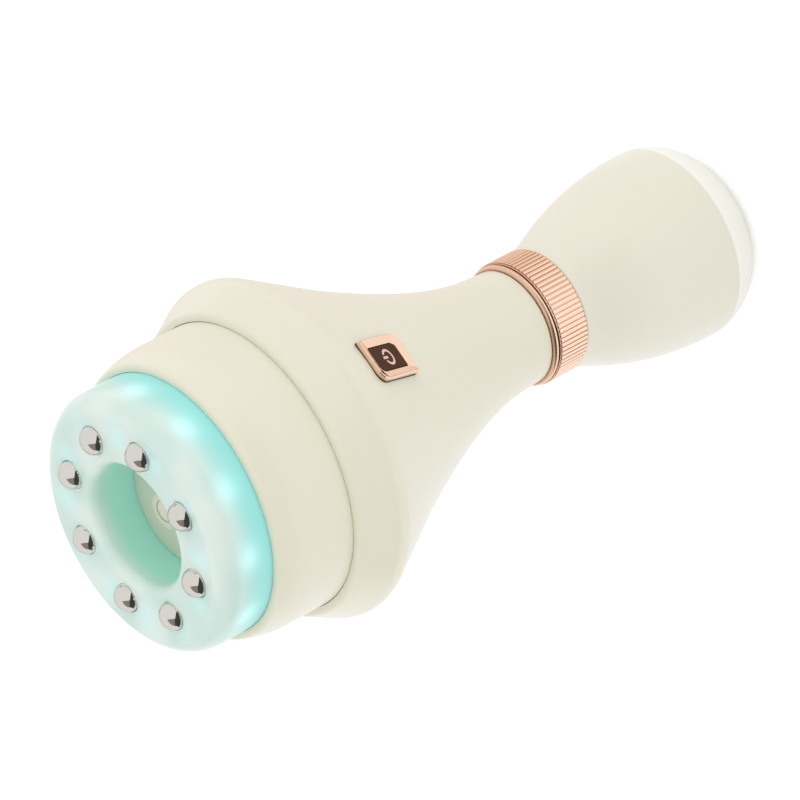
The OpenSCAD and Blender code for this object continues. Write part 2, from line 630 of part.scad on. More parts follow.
// Seat under the head: cup floor with the nozzle, hub for the head and plate for the light board
hub_r = mouth_d / 2 - 0.35;
module cup_seat() { color(cream) difference() {
    union() {
        rod(ledge_r - 0.2, seat_z, seat_z + seat_t);
        rod(hub_r, seat_z, floor_z);
        rod(nozzle_d / 2, floor_z, floor_z + nozzle_h - 0.8);
        turned([[0, floor_z + nozzle_h - 0.9], [nozzle_d / 2, floor_z + nozzle_h - 0.9],
            [nozzle_d / 2, floor_z + nozzle_h - 0.8], [nozzle_d / 2 - 0.25, floor_z + nozzle_h - 0.2],
            [nozzle_d / 2 - 0.8, floor_z + nozzle_h], [0, floor_z + nozzle_h]]);
        round_about(3, post_phase, post_r) rod(2.1, seat_z, seat_z + seat_t + 3);
    }
    difference() {
        rod(hub_r - 2.4, seat_z - 1, floor_z - floor_t);
        rod(nip_r, spigot_z, big);
    }
    rod(air_d / 2, 0, big);
    translate([wire_x, -wire_y, 0]) rod(1.8, 0, seat_z + seat_t + 1);
    rod(2.6, floor_z + nozzle_h - 1.4, big);
    tube(hub_r - 1.05, hub_r + 1, seal_z - 0.7, seal_z + 0.7);
    round_about(3, post_phase, post_r) rod(1.1, 0, seat_z + seat_t + 2.9);
    at_head_screws() rod(1.1, 0, seat_z + seat_t + 1);
    at_head_screws() rod(2, 0, seat_z + 0.7);
} }
seal_z = floor_z - 2.6;
module nozzle_filter() { color(natural) rod(2.5, floor_z + nozzle_h - 1.4, floor_z + nozzle_h - 0.3); }
// Round rubber seal between the hub and the head
module cup_seal() { color(dark) rotate_extrude() translate([hub_r - 0.41, seal_z]) circle(0.58, $fn = 32); }

// Ring-shaped light board with its lamps, behind the frosted head
lamp_phase = 14.5;
module light_board() { color([0.93, 0.94, 0.94]) difference() {
    tube(hub_r + 2.1, ledge_r - 1.9, board_z, board_z + board_t);
    round_about(3, post_phase, post_r) rod(2.5, 0, big);
    at_head_screws() rod(2.1, 0, big);
} }
module lamps() { color([0.95, 0.98, 0.85]) round_about(lamp_count, lamp_phase, lamp_circle_r)
    translate([-1.4, -1.75, board_z + board_t]) cube([2.8, 3.5, 1.4]); }

// Frosted head: one soft ring with a socket for each ball and a lit channel behind its face
bore_r = mouth_d / 2;
mouth_lip = 2.5;
crown_r = 2.5;
edge_a = 57;
crown_a = 103;
crown_c = [head_r - head_edge_r + (head_edge_r - crown_r) * cos(edge_a), z_crown - crown_r];
edge_c = crown_c - (head_edge_r - crown_r) * [cos(edge_a), sin(edge_a)];
face_out = crown_c + crown_r * [cos(crown_a), sin(crown_a)];
face_in = [bore_r + mouth_lip, z_crown - face_dish];
roof_z = z_crown - 7;
// Height of the face at a radius: nearly flat where the balls sit, and rising to the crown
function face_at(r) = face_in[1]
    + (face_out[1] - face_in[1]) * pow((r - face_in[0]) / (face_out[0] - face_in[0]), 5);
ball_r = ball_d / 2;
ball_phase = 26;
ball_at = ball_circle_d / 2;
ball_z = face_at(ball_at) - ball_sink;
module at_head_screws() { round_about(4, ball_phase + 22.5, bore_r + 3.4) children(); }
module massage_head() { color(mint) difference() {
    union() {
        difference() {
            turned(concat([[bore_r - 0.15, board_z + 1.2]],
                arc([face_in[0], face_in[1] - mouth_lip], mouth_lip, 180, 90, 9),
                [for (i = [1:7]) let (r = face_in[0] + (face_out[0] - face_in[0]) * i / 8) [r, face_at(r)]],
                arc(crown_c, crown_r, crown_a, edge_a + 8, 5), arc(edge_c, head_edge_r, edge_a, 0, 8),
                [[head_r, ledge_z], [bore_r + 1.7, ledge_z], [bore_r + 1.7, board_z + 1.2]]));
            turned([[bore_r + 1.8, z_seat - 4], [bore_r + 1.8, roof_z], [head_r - 5, roof_z],
                [head_r - 2.2, roof_z - 3], [head_r - 2.2, z_seat - 4]]);
        }
        intersection() {
            at_head_screws() rod(1.9, board_z + board_t, roof_z + 0.5);
            tube(bore_r + 0.9, bore_r + 9, 0, big);
        }
    }
    round_about(ball_count, ball_phase, ball_at) {
        translate([0, 0, ball_z]) sphere(ball_r + ball_gap);
        translate([0, 0, ball_z - 0.1])
            cylinder(r1 = ball_r + ball_gap, r2 = ball_r + ball_gap + 0.15, h = ball_r - ball_sink);
        rod(2.55, 0, ball_z - ball_r - ball_gap - 0.4);
    }
    at_head_screws() rod(0.85, 0, roof_z - 2);
} }
module ball_magnets() { color(steel) round_about(ball_count, ball_phase, ball_at)
    rod(2.5, ball_z - ball_r - ball_gap - 2, ball_z - ball_r - ball_gap - 0.4); }
module head_screws() { color(steel) at_head_screws() screw_up(0.8, 1.9, 1, seat_z + 0.7, seat_z + 9); }
module massage_ball(i) { color(steel) rotate([0, 0, ball_phase + 360 * (i - 1) / ball_count])
    translate([ball_at, 0, ball_z]) sphere(ball_r); }

handle_bulb();
base_cap();
handle_screw();
battery_cell();
battery_contacts();
neck_tube();
bearing_sleeve();
flange_ring();
encoder_board();
main_shell();
front_collar();
inner_chassis();
collar_screws();
tube_screws();
main_board();
board_parts();
board_screws();
usb_port();
usb_board();
button_bezel();
tact_switch();
switch_board();
switch_screws();
pump_motor();
motor_bushes();
pump_housing();
pump_diaphragm();
pump_head();
pump_screws();
release_valve();
valve_spring();
air_tubes();
tee_fitting();
cup_seat();
nozzle_filter();
cup_seal();
light_board();
lamps();
massage_head();
ball_magnets();
head_screws();
control_ring();
ring_wiper();
button_key();
switch_plunger();
motor_rotor();
pump_crank();
valve_plunger();
battery_wires();
switch_wires();
light_wires();
pump_wires();
massage_ball(1);  // massage_ball_1
massage_ball(2);  // massage_ball_2
massage_ball(3);  // massage_ball_3
massage_ball(4);  // massage_ball_4
massage_ball(5);  // massage_ball_5
massage_ball(6);  // massage_ball_6
massage_ball(7);  // massage_ball_7
massage_ball(8);  // massage_ball_8
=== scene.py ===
"""Looks of an electric cupping massager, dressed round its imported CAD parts.

The massager stands on the flat end of its bulb handle with its axis of revolution along +Z.
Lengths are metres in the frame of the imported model, and the power button faces -Y.
"""
import json
import math

import bmesh
import bpy
from mathutils import Matrix, Vector
from mathutils.kdtree import KDTree


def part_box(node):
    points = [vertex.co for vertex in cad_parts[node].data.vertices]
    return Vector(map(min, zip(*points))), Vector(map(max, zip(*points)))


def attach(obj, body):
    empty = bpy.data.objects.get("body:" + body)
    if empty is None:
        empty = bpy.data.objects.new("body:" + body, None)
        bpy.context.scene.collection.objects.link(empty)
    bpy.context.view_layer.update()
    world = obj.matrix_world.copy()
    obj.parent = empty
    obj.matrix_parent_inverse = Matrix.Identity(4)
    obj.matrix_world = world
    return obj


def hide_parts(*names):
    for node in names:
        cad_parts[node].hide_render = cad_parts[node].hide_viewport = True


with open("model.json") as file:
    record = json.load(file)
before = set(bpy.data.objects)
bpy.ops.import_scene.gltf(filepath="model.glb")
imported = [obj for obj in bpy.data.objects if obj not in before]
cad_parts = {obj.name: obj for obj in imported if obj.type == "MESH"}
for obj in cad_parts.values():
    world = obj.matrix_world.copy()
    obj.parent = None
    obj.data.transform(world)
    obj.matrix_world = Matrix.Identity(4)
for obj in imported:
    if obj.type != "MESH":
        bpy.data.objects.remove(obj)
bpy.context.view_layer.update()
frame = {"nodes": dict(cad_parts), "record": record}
cad = frame["nodes"]
mm = 0.001


# The camera. It looks down on the head from the button's side, through a long lens, and is rolled
# so that the body runs up to the right of the picture.
camera_at = Vector((-180.6, -874.0, 679.3)) * mm
camera_azimuth = math.radians(-101.5)
camera_elevation = math.radians(33.19)
camera_roll = math.radians(118.15)
backward = Vector((
    math.cos(camera_elevation) * math.cos(camera_azimuth),
    math.cos(camera_elevation) * math.sin(camera_azimuth),
    math.sin(camera_elevation),
))
level_right = Vector((0, 0, 1)).cross(backward).normalized()
level_up = backward.cross(level_right)
camera_up = math.cos(camera_roll) * level_up + math.sin(camera_roll) * level_right
camera_right = camera_up.cross(backward)
camera = bpy.data.objects.new("camera", bpy.data.cameras.new("camera"))
camera.data.sensor_width = 36
camera.data.lens = 217.98
camera.matrix_world = Matrix.Translation(camera_at) @ Matrix(
    (camera_right, camera_up, backward)
).transposed().to_4x4()
bpy.context.collection.objects.link(camera)
bpy.context.scene.camera = camera
bpy.context.scene.view_settings.view_transform = "Standard"


# The bulb handle: a hollow barrel blown and trimmed in cream plastic. It is the grip, holds the
# cell, and its flat end is what the massager stands on.
class Value:
    """A socket of a node tree. Arithmetic on it adds the Math nodes that it stands for."""

    def __init__(self, tree, socket=None):
        self.tree = tree
        self.socket = socket

    def node(self, kind, settings=None, sockets=None, output=0):
        """Any other node: its settings are set first, then its sockets, by constant or by link."""
        made = self.tree.nodes.new(kind)
        for name, setting in (settings or {}).items():
            setattr(made, name, setting)
        for name, value in (sockets or {}).items():
            if isinstance(value, Value):
                self.tree.links.new(value.socket, made.inputs[name])
            else:
                made.inputs[name].default_value = value
        return Value(self.tree, made.outputs[output])

    def maths(self, operation, *others):
        settings = {"operation": operation}
        return self.node("ShaderNodeMath", settings, dict(enumerate((self, *others))))

    def __add__(self, other):
        return self.maths("ADD", other)

    def __sub__(self, other):
        return self.maths("SUBTRACT", other)

    def __rsub__(self, other):
        return self.node("ShaderNodeMath", {"operation": "SUBTRACT"}, {0: other, 1: self})

    def __mul__(self, other):
        return self.maths("MULTIPLY", other)

    def __truediv__(self, other):
        return self.maths("DIVIDE", other)

    def __rtruediv__(self, other):
        return self.node("ShaderNodeMath", {"operation": "DIVIDE"}, {0: other, 1: self})

    def __pow__(self, other):
        return self.maths("POWER", other)

    __radd__ = __add__
    __rmul__ = __mul__

    def hill(self, middle, width):
        """1 at the middle, falling smoothly to nothing a few widths away."""
        away = (self - middle) / width
        return (away * away * -1).maths("EXPONENT")

    def ramp(self, low, high):
        """0 below low, 1 above high, and smooth between."""
        return self.node(
            "ShaderNodeMapRange", {"interpolation_type": "SMOOTHSTEP"},
            {"Value": self, "From Min": low, "From Max": high},
        )


class Finish:
    """A material whose shader takes constants by name and Values by link."""

    def __init__(self, name, **constants):
        self.material = bpy.data.materials.new(name)
        self.material.use_nodes = True
        self.tree = self.material.node_tree
        self.shader = self.tree.nodes["Principled BSDF"]
        self.start = Value(self.tree)
        self.place = self.start.node("ShaderNodeTexCoord", output="Object")
        self.set(**constants)

    def set(self, **sockets):
        for name, value in sockets.items():
            socket = self.shader.inputs[name.replace("_", " ")]
            if isinstance(value, Value):
                self.tree.links.new(value.socket, socket)
            else:
                socket.default_value = value

    def noise(self, scale, detail=2.0, stretch=(1, 1, 1)):
        spread = self.start.node(
            "ShaderNodeMapping", sockets={"Vector": self.place, "Scale": stretch}
        )
        return self.start.node(
            "ShaderNodeTexNoise", sockets={"Vector": spread, "Scale": scale, "Detail": detail},
            output="Fac",
        )

    def blend(self, factor, first, second):
        first = first if isinstance(first, Value) else (*first, 1)
        second = second if isinstance(second, Value) else (*second, 1)
        return self.start.node(
            "ShaderNodeMix", {"data_type": "RGBA"}, {0: factor, 6: first, 7: second}, output=2
        )

    def split(self):
        """How far along X, Y and Z a place is."""
        made = self.start.node("ShaderNodeSeparateXYZ", sockets={"Vector": self.place})
        return [Value(self.tree, socket) for socket in made.socket.node.outputs]

    def from_axis(self):
        x, y = self.split()[:2]
        return (x * x + y * y) ** 0.5

    def along(self, direction):
        return self.start.node(
            "ShaderNodeVectorMath", {"operation": "DOT_PRODUCT"}, {0: self.place, 1: direction},
            output="Value",
        )

    def turned_away(self):
        """0 where the surface is seen straight on, and 1 at its outline."""
        return self.start.node("ShaderNodeLayerWeight", sockets={"Blend": 0.5}, output="Facing")

    def bump(self, height, depth, strength):
        return self.start.node(
            "ShaderNodeBump", sockets={"Height": height, "Distance": depth, "Strength": strength}
        )


def uneven(middle, spread, noise):
    """A value that a noise takes to either side of its middle."""
    return middle + (noise - 0.5) * spread


# The pale cream of a painted highlight.
painted_highlight_cream = (0.95, 0.945, 0.87)


def moulded(name, colour, roughness, coat=0.0, mottle=0.03, edge=0.0, painted_highlight_below=None):
    """Injection-moulded plastic: an even colour with the faint clouding and grain of the mould.

    Its colour is painted paler by edge where the surface turns away, a painted rim sheen,
    and paler still below a given height, where it is a painted highlight.
    """
    finish = Finish(name, Coat_Weight=coat, Coat_Roughness=0.15)
    clouds = finish.noise(scale=60, detail=3)
    grain = finish.noise(scale=2600)
    deep = tuple(c * (1 - mottle) for c in colour)
    painted_rim_sheen_colour = tuple((1 + c) / 2 for c in colour)
    body = finish.blend(clouds, deep, colour)
    # Below the given height the colour is painted paler, a painted highlight.
    if painted_highlight_below is not None:
        fade = 0.3 * mm
        painted_highlight = 1 - finish.split()[2].ramp(painted_highlight_below - fade, painted_highlight_below)
        body = finish.blend(painted_highlight, body, painted_highlight_cream)
    # Towards the outline the colour is painted paler by edge, a painted rim sheen.
    finish.set(
        Base_Color=finish.blend(finish.turned_away() ** 3 * edge, body, painted_rim_sheen_colour),
        Roughness=uneven(roughness, 0.08, clouds),
        Normal=finish.bump(grain, depth=0.01 * mm, strength=0.35),
    )
    return finish.material


def body_of_node(node):
    for body, members in frame["record"]["behaviour"]["bodies"].items():
        if node in members:
            return body


def stands_for(piece, node, material):
    """A finished piece takes a CAD node's place, on the same body."""
    piece.data.materials.clear()
    piece.data.materials.append(material)
    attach(piece, body_of_node(node))
    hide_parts(node)
    return piece


def shaped(name, mesh, crease=30):
    """An object for a mesh, shaded smooth except across creases sharper than so many degrees."""
    mesh.shade_smooth()
    mesh.set_sharp_from_angle(angle=math.radians(crease))
    made = bpy.data.objects.new(name, mesh)
    bpy.context.collection.objects.link(made)
    return made


def as_mesh(work, name):
    """The mesh that a bmesh holds, once the bmesh is done with."""
    mesh = bpy.data.meshes.new(name)
    work.to_mesh(mesh)
    work.free()
    return mesh


def smoothed(node, material, crease=30):
    """A merged copy of a CAD node, so that its turned faces shade as one surface."""
    mesh = cad[node].data.copy()
    if mesh.has_custom_normals:
        mesh.attributes.remove(mesh.attributes["custom_normal"])
    work = bmesh.new()
    work.from_mesh(mesh)
    bmesh.ops.remove_doubles(work, verts=work.verts, dist=0.002 * mm)
    work.to_mesh(mesh)
    work.free()
    return stands_for(shaped(node + "_moulding", mesh, crease), node, material)


bulb_crease = 10.85 * mm
crease_reach = 0.02 * mm
bulb_inside = 20 * mm
# The bulb's cream is painted paler at its outline and below its crease: painted rim sheen and
# highlight.
bulb_plastic = moulded(
    "bulb_plastic", (0.825, 0.795, 0.675), 0.38, coat=0.3, edge=0.7, painted_highlight_below=bulb_crease
)
handle = smoothed("handle_bulb", bulb_plastic)
for edge in handle.data.edges:
    ends = [handle.data.vertices[i].co for i in edge.vertices]
    edge.use_edge_sharp |= all(
        abs(end.z - bulb_crease) < crease_reach and end.xy.length > bulb_inside for end in ends
    )

# The base cap: a round plate in the bulb's own cream plastic, pressed into the standing face,
# where it hides the head of the handle screw.
smoothed("base_cap", bulb_plastic)


# The handle screw: one machine screw of bare steel, driven in through the standing face. It
# pulls the bulb up against the neck.
def tool_lines(finish, along):
    """Fine lines that a tool or a brush left, drawn out along an axis."""
    return finish.noise(scale=900, detail=3, stretch=along)


def metal(name, colour, roughness, brushing=0.06, along=(1, 1, 12)):
    """Bare or plated metal with fine tool lines that break up its gloss."""
    finish = Finish(name, Metallic=1.0)
    lines = tool_lines(finish, along)
    shade = tuple(c * 0.9 for c in colour)
    finish.set(
        Base_Color=finish.blend(lines, shade, colour),
        Roughness=uneven(roughness, brushing, lines),
    )
    return finish.material


def dressed(node, material):
    """A CAD node keeps its mesh and gets a finish."""
    cad[node].data.materials.clear()
    cad[node].data.materials.append(material)


screw_steel = metal("screw_steel", (0.62, 0.61, 0.60), 0.32)
dressed("handle_screw", screw_steel)


# The cell: a steel can in a blue heat-shrink wrap. Bare nickel strips lie against its two ends
# and lead its current to the wires.
def wrapped_cell():
    """The wrap, with one printed silver band round it."""
    finish = Finish("cell_wrap", Roughness=0.35, Coat_Weight=0.4)
    height = finish.split()[2]
    band_low, band_high, print_edge = 20 * mm, 23 * mm, 0.4 * mm
    band = (height - band_low).ramp(0, print_edge) - (height - band_high).ramp(0, print_edge)
    wrinkles = finish.noise(scale=350, detail=3, stretch=(1, 1, 0.3))
    blue = finish.blend(wrinkles, (0.03, 0.16, 0.38), (0.05, 0.22, 0.46))
    finish.set(
        Base_Color=finish.blend(band, blue, (0.75, 0.76, 0.78)),
        Normal=finish.bump(wrinkles, depth=0.06 * mm, strength=0.3),
    )
    return finish.material


dressed("battery_cell", wrapped_cell())
dressed("battery_contacts", metal("nickel_strip", (0.66, 0.64, 0.60), 0.3))

# The neck tube: the natural plastic barrel that joins the handle to the shell, and the plain
# bearing sleeve on it that the control ring turns on.
natural_plastic = moulded("natural_plastic", (0.78, 0.78, 0.74), 0.5, mottle=0.05)
dressed("neck_tube", natural_plastic)
dressed("bearing_sleeve", moulded("bearing_plastic", (0.86, 0.86, 0.84), 0.3))


# The control ring: a turned brass ring with fine ribs all round, plated rose gold. The ribs
# repeat, so a node tree sets them round a turned core. It turns with a copper wiper inside it.
def turned_mesh(name, outline, steps=192):
    """A mesh turned round Z. The outline is (radius, height) pairs, anticlockwise and closed."""
    work = bmesh.new()
    rings = []
    for radius, height in outline:
        turns = [math.tau * i / steps for i in range(steps)]
        rings.append([
            work.verts.new((radius * math.cos(a), radius * math.sin(a), height)) for a in turns
        ])
    for low, high in zip(rings, rings[1:] + rings[:1]):
        for i in range(steps):
            j = (i + 1) % steps
            work.faces.new((low[i], low[j], high[j], high[i]))
    return as_mesh(work, name)


def arc(radius, height, bend, start, end, steps):
    """Points on an arc round (radius, height), angles in degrees from outwards."""
    turns = [math.radians(start + (end - start) * i / steps) for i in range(steps + 1)]
    return [(radius + bend * math.cos(a), height + bend * math.sin(a)) for a in turns]


running_gap = 0.05 * mm
ring_low, ring_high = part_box("control_ring")
ring_radius = ring_high.x
ring_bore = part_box("bearing_sleeve")[1].x + running_gap
wiper_low, wiper_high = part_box("ring_wiper")
wiper_radius = wiper_high.x + running_gap
rim = 0.4 * mm
rim_radius = ring_radius - 0.2 * mm
rim_corner = 0.2 * mm
rim_slope = 0.12 * mm
top_corner = 0.1 * mm
rib_count = 80
rib_depth = 0.35 * mm
core_radius = ring_radius - rib_depth
rib_share = 0.9
rod_sides = 8


def rose_gold(finish, clear_of_painted_shade, deep, dull, bright, roughness, brushing, along=(1, 1, 0.05)):
    """Rose gold plate, with painted shade: deep in colour where the given mask is low."""
    lines = tool_lines(finish, along)
    finish.set(
        Base_Color=finish.blend(clear_of_painted_shade, deep, finish.blend(lines, dull, bright)),
        Roughness=uneven(roughness, brushing, lines),
    )
    return finish.material


def plated_ring():
    """Rose gold, bright on the ribs, with painted shade deeper in colour between them."""
    finish = Finish("rose_gold_plate", Metallic=1.0)
    # The ribs' tops stay clear of the painted shade that deepens the grooves.
    proud = finish.from_axis().ramp(core_radius + 0.05 * mm, ring_radius - 0.08 * mm)
    return rose_gold(
        finish, proud, deep=(0.68, 0.42, 0.29), dull=(0.91, 0.67, 0.52),
        bright=(0.95, 0.72, 0.57), roughness=0.22, brushing=0.08,
    )


def ribs_round_a_ring():
    """A node tree: rods with a flat side out, set in a circle and joined to a ring's core."""
    tree = bpy.data.node_groups.new("ribs_round_a_ring", "GeometryNodeTree")
    kinds = {
        "Geometry": "Geometry", "Ribs": "Int", "Radius": "Float", "Rib width": "Float",
        "Rib depth": "Float", "Rib length": "Float", "Middle height": "Float",
        "Finish": "Material",
    }
    inputs = {
        name: tree.interface.new_socket(name, in_out="INPUT", socket_type="NodeSocket" + kind)
        for name, kind in kinds.items()
    }
    tree.interface.new_socket("Geometry", in_out="OUTPUT", socket_type="NodeSocketGeometry")
    start = Value(tree)
    source = tree.nodes.new("NodeGroupInput")
    given = {name: Value(tree, source.outputs[name]) for name in kinds}

    circle = start.node(
        "GeometryNodeMeshCircle", sockets={"Vertices": given["Ribs"], "Radius": given["Radius"]}
    )
    lift = start.node("ShaderNodeCombineXYZ", sockets={"Z": given["Middle height"]})
    places = start.node(
        "GeometryNodeTransform", sockets={"Geometry": circle, "Translation": lift}
    )
    rod = start.node(
        "GeometryNodeMeshCylinder",
        sockets={"Vertices": rod_sides, "Radius": 1.0, "Depth": 1.0}, output="Mesh",
    )
    flat_out = start.node("ShaderNodeCombineXYZ", sockets={"Z": math.pi / rod_sides})
    rod = start.node("GeometryNodeTransform", sockets={"Geometry": rod, "Rotation": flat_out})
    size = start.node("ShaderNodeCombineXYZ", sockets={
        "X": given["Rib depth"], "Y": given["Rib width"] * 0.5, "Z": given["Rib length"],
    })
    rib = start.node("GeometryNodeTransform", sockets={"Geometry": rod, "Scale": size})
    angle = start.node("GeometryNodeInputIndex") * (math.tau / given["Ribs"])
    facing = start.node("ShaderNodeCombineXYZ", sockets={"Z": angle})
    ribs = start.node(
        "GeometryNodeInstanceOnPoints",
        sockets={"Points": places, "Instance": rib, "Rotation": facing},
    )
    real = start.node("GeometryNodeRealizeInstances", sockets={"Geometry": ribs})
    both = start.node("GeometryNodeJoinGeometry", sockets={"Geometry": real})
    tree.links.new(given["Geometry"].socket, both.socket.node.inputs["Geometry"])
    coated = start.node(
        "GeometryNodeSetMaterial", sockets={"Geometry": both, "Material": given["Finish"]}
    )
    tree.links.new(coated.socket, tree.nodes.new("NodeGroupOutput").inputs["Geometry"])
    return tree, {name: socket.identifier for name, socket in inputs.items()}


def ribbed_ring(finish):
    """The ring's turned core with its ribs on, as one plain mesh."""
    core = turned_mesh("control_ring_core", [
        (ring_bore, ring_low.z),
        *arc(rim_radius - rim_corner, ring_low.z + rim_corner, rim_corner, -90, 0, 4),
        (rim_radius, ring_low.z + rim - rim_slope),
        (core_radius, ring_low.z + rim),
        (core_radius, ring_high.z - rim),
        (rim_radius, ring_high.z - rim + rim_slope),
        (rim_radius, ring_high.z - top_corner),
        (rim_radius - top_corner, ring_high.z),
        (wiper_radius, ring_high.z),
        (wiper_radius, wiper_low.z),
        (ring_bore, wiper_low.z),
    ], steps=240)
    base = bpy.data.objects.new("control_ring_base", core)
    bpy.context.collection.objects.link(base)
    ribbing = base.modifiers.new("ribs", "NODES")
    ribbing.node_group, identifiers = ribs_round_a_ring()
    for name, size in {
        "Ribs": rib_count,
        "Radius": core_radius,
        "Rib depth": rib_depth / math.cos(math.pi / rod_sides),
        "Rib width": math.tau * core_radius / rib_count * rib_share,
        "Rib length": ring_high.z - ring_low.z - 2 * rim - 0.1 * mm,
        "Middle height": (ring_low.z + ring_high.z) / 2,
        "Finish": finish,
    }.items():
        ribbing[identifiers[name]] = size
    seen = base.evaluated_get(bpy.context.evaluated_depsgraph_get())
    mesh = bpy.data.meshes.new_from_object(seen)
    bpy.data.objects.remove(base)
    return shaped("control_ring_ribbed", mesh, crease=40)


ring_plate = plated_ring()
stands_for(ribbed_ring(ring_plate), "control_ring", ring_plate)
dressed("ring_wiper", metal("copper_sheet", (0.78, 0.42, 0.26), 0.28))

# The flange: a polished rose-gold washer with a rolled lip, between the control ring and the
# shell. A step in its underside holds the encoder board.
flange_low, flange_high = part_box("flange_ring")
flange_bore = 11.6 * mm
flange_lip = 0.8 * mm
flange_foot = 0.15 * mm
board_depth = 0.6 * mm


def rolled_flange():
    board_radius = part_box("encoder_board")[1].x + running_gap
    return turned_mesh("flange_rolled", [
        (flange_bore, flange_low.z + board_depth),
        (board_radius, flange_low.z + board_depth),
        (board_radius, flange_low.z),
        (flange_high.x - flange_foot, flange_low.z),
        (flange_high.x, flange_low.z + flange_foot),
        *arc(flange_high.x - flange_lip, flange_high.z - flange_lip, flange_lip, 0, 90, 16),
        (flange_bore, flange_high.z),
    ])


def polished_plate():
    """Rose gold, painted deeper in colour towards the shell, as painted shade and reflection."""
    finish = Finish("rose_gold_polished", Metallic=1.0)
    clear_of_painted_shade = finish.from_axis().ramp(flange_high.x - 0.75 * mm, flange_high.x - 0.35 * mm)
    return rose_gold(
        finish, clear_of_painted_shade, deep=(0.66, 0.35, 0.21), dull=(0.88, 0.60, 0.45),
        bright=(0.94, 0.66, 0.50), roughness=0.27, brushing=0.06,
    )


stands_for(shaped("flange_rolled", rolled_flange()), "flange_ring", polished_plate())


# The encoder board: a ring of green fibreglass in the step under the flange, with the tracks that
# the ring's wiper reads. Every board here is made the same way.
def circuit_board(name, mask):
    """Fibreglass: solder mask over tracks that run in two directions, with tinned pads."""
    finish = Finish(name, Roughness=0.3, Coat_Weight=0.3)
    x, y, z = finish.split()
    x_waves, y_waves, z_waves = 2400, 1700, 2100
    lanes = (x * x_waves).maths("SINE") * (z * z_waves + y * y_waves).maths("COSINE")
    tracks = lanes.ramp(0.35, 0.45)
    from_pad = finish.start.node(
        "ShaderNodeTexVoronoi", {"feature": "F1"}, {"Vector": finish.place, "Scale": 420.0},
        output="Distance",
    )
    pads = 1 - from_pad.ramp(0.14, 0.2)
    lighter = tuple(min(1, c * 1.6) for c in mask)
    tinned = (0.7, 0.68, 0.62)
    finish.set(Base_Color=finish.blend(pads, finish.blend(tracks, mask, lighter), tinned))
    return finish.material


green_board = circuit_board("green_board", (0.02, 0.12, 0.06))
dressed("encoder_board", green_board)

# The main shell: a trumpet of cream plastic from the neck to a soft ridge, with a pocket for the
# button's frame in front and the charging port and its vents behind.
# The shell's cream is painted paler at its outline, a painted rim sheen.
cream_plastic = moulded("cream_plastic", (0.815, 0.785, 0.635), 0.38, coat=0.3, edge=0.7)
shell = smoothed("main_shell", cream_plastic, crease=40)


def trued(mesh, profile_side):
    """Corner normals of the turned faces, taken from a side of the shell with no openings."""
    same_side, same_face, near_count, least_away = 0.9, 0.97, 6, 0.01 * mm
    rows = KDTree(len(mesh.vertices))
    for vertex in mesh.vertices:
        out = Vector(vertex.co.xy)
        if out.normalized().dot(profile_side) > same_side:
            rows.insert((out.length, vertex.co.z, 0), vertex.index)
    rows.balance()
    normals = [corner.vector.copy() for corner in mesh.corner_normals]
    for face in mesh.polygons:
        for loop in face.loop_indices:
            place = mesh.vertices[mesh.loops[loop].vertex_index].co
            out = Vector(place.xy)
            mixed, total = Vector((0, 0)), 0.0
            for _, index, away in rows.find_n((out.length, place.z, 0), near_count):
                like = mesh.vertices[index]
                slope = Vector((like.normal.xy.dot(like.co.xy.normalized()), like.normal.z))
                weight = 1 / (away + least_away) ** 2
                mixed, total = mixed + slope * weight, total + weight
            mixed.normalize()
            around = out.normalized() * mixed.x
            true = Vector((around.x, around.y, mixed.y))
            if true.dot(face.normal) > same_face:
                normals[loop] = true
    mesh.normals_split_custom_set(normals)


trued(shell.data, Vector((1, 0)))

# The front collar: a hoop in the shell's own cream plastic. It plugs into the shell's mouth,
# three screws hold it there, and it carries the head.
smoothed("front_collar", cream_plastic, crease=40)

# The inner chassis and its screws: a front plate and two rails that hold the pump and main board,
# on top of the neck tube.
dressed("inner_chassis", natural_plastic)
for joined in ("collar", "tube", "board", "switch", "pump", "head"):
    dressed(joined + "_screws", screw_steel)

# The main board: green fibreglass, screwed to the chassis. The chips, coils and sockets on it
# are moulded in black resin.
dressed("main_board", green_board)
black_resin = moulded("black_resin", (0.02, 0.02, 0.022), 0.45, mottle=0.2)
dressed("board_parts", black_resin)

# The charging port: a drawn steel mouth behind an opening at the back of the neck, soldered to a
# small board of its own.
smoothed("usb_port", metal("port_steel", (0.60, 0.60, 0.61), 0.3))
dressed("usb_board", green_board)


# The power button: a leaf-shaped metal frame with faces that slope down to a glossy dark key.
# The frame is pressed into the shell's pocket, and the key slides in the frame.
flare_slope = math.atan(0.574)
button_height = 114.3 * mm
button_radius = 32.32 * mm
button_frame = Matrix.Translation((0, -button_radius, button_height)) @ Matrix.Rotation(
    math.pi / 2 + flare_slope, 4, "X"
)
button_middle = button_frame.translation
button_up = button_frame.col[1].xyz
button_out = button_frame.col[2].xyz
frame_width, frame_length = 10.3 * mm, 16.6 * mm
frame_rise = 1.1 * mm
frame_foot = -0.9 * mm
key_width, key_length = 5.9 * mm, 11.6 * mm
key_top = 0.55 * mm
hole_width, hole_length = key_width + 0.3 * mm, key_length + 0.3 * mm


def leaf_outline(width, length, steps=10):
    """A rectangle round the origin with two opposite corners sharp and two well rounded."""
    tight, wide = 0.07 * width, 0.27 * width
    corners = []
    for k, (bend, side_x, side_y) in enumerate((
        (tight, 1, 1), (wide, -1, 1), (tight, -1, -1), (wide, 1, -1),
    )):
        x, y = side_x * (width / 2 - bend), side_y * (length / 2 - bend)
        for i in range(steps + 1):
            a = math.pi / 2 * (k + i / steps)
            corners.append((x + bend * math.cos(a), y + bend * math.sin(a)))
    return corners


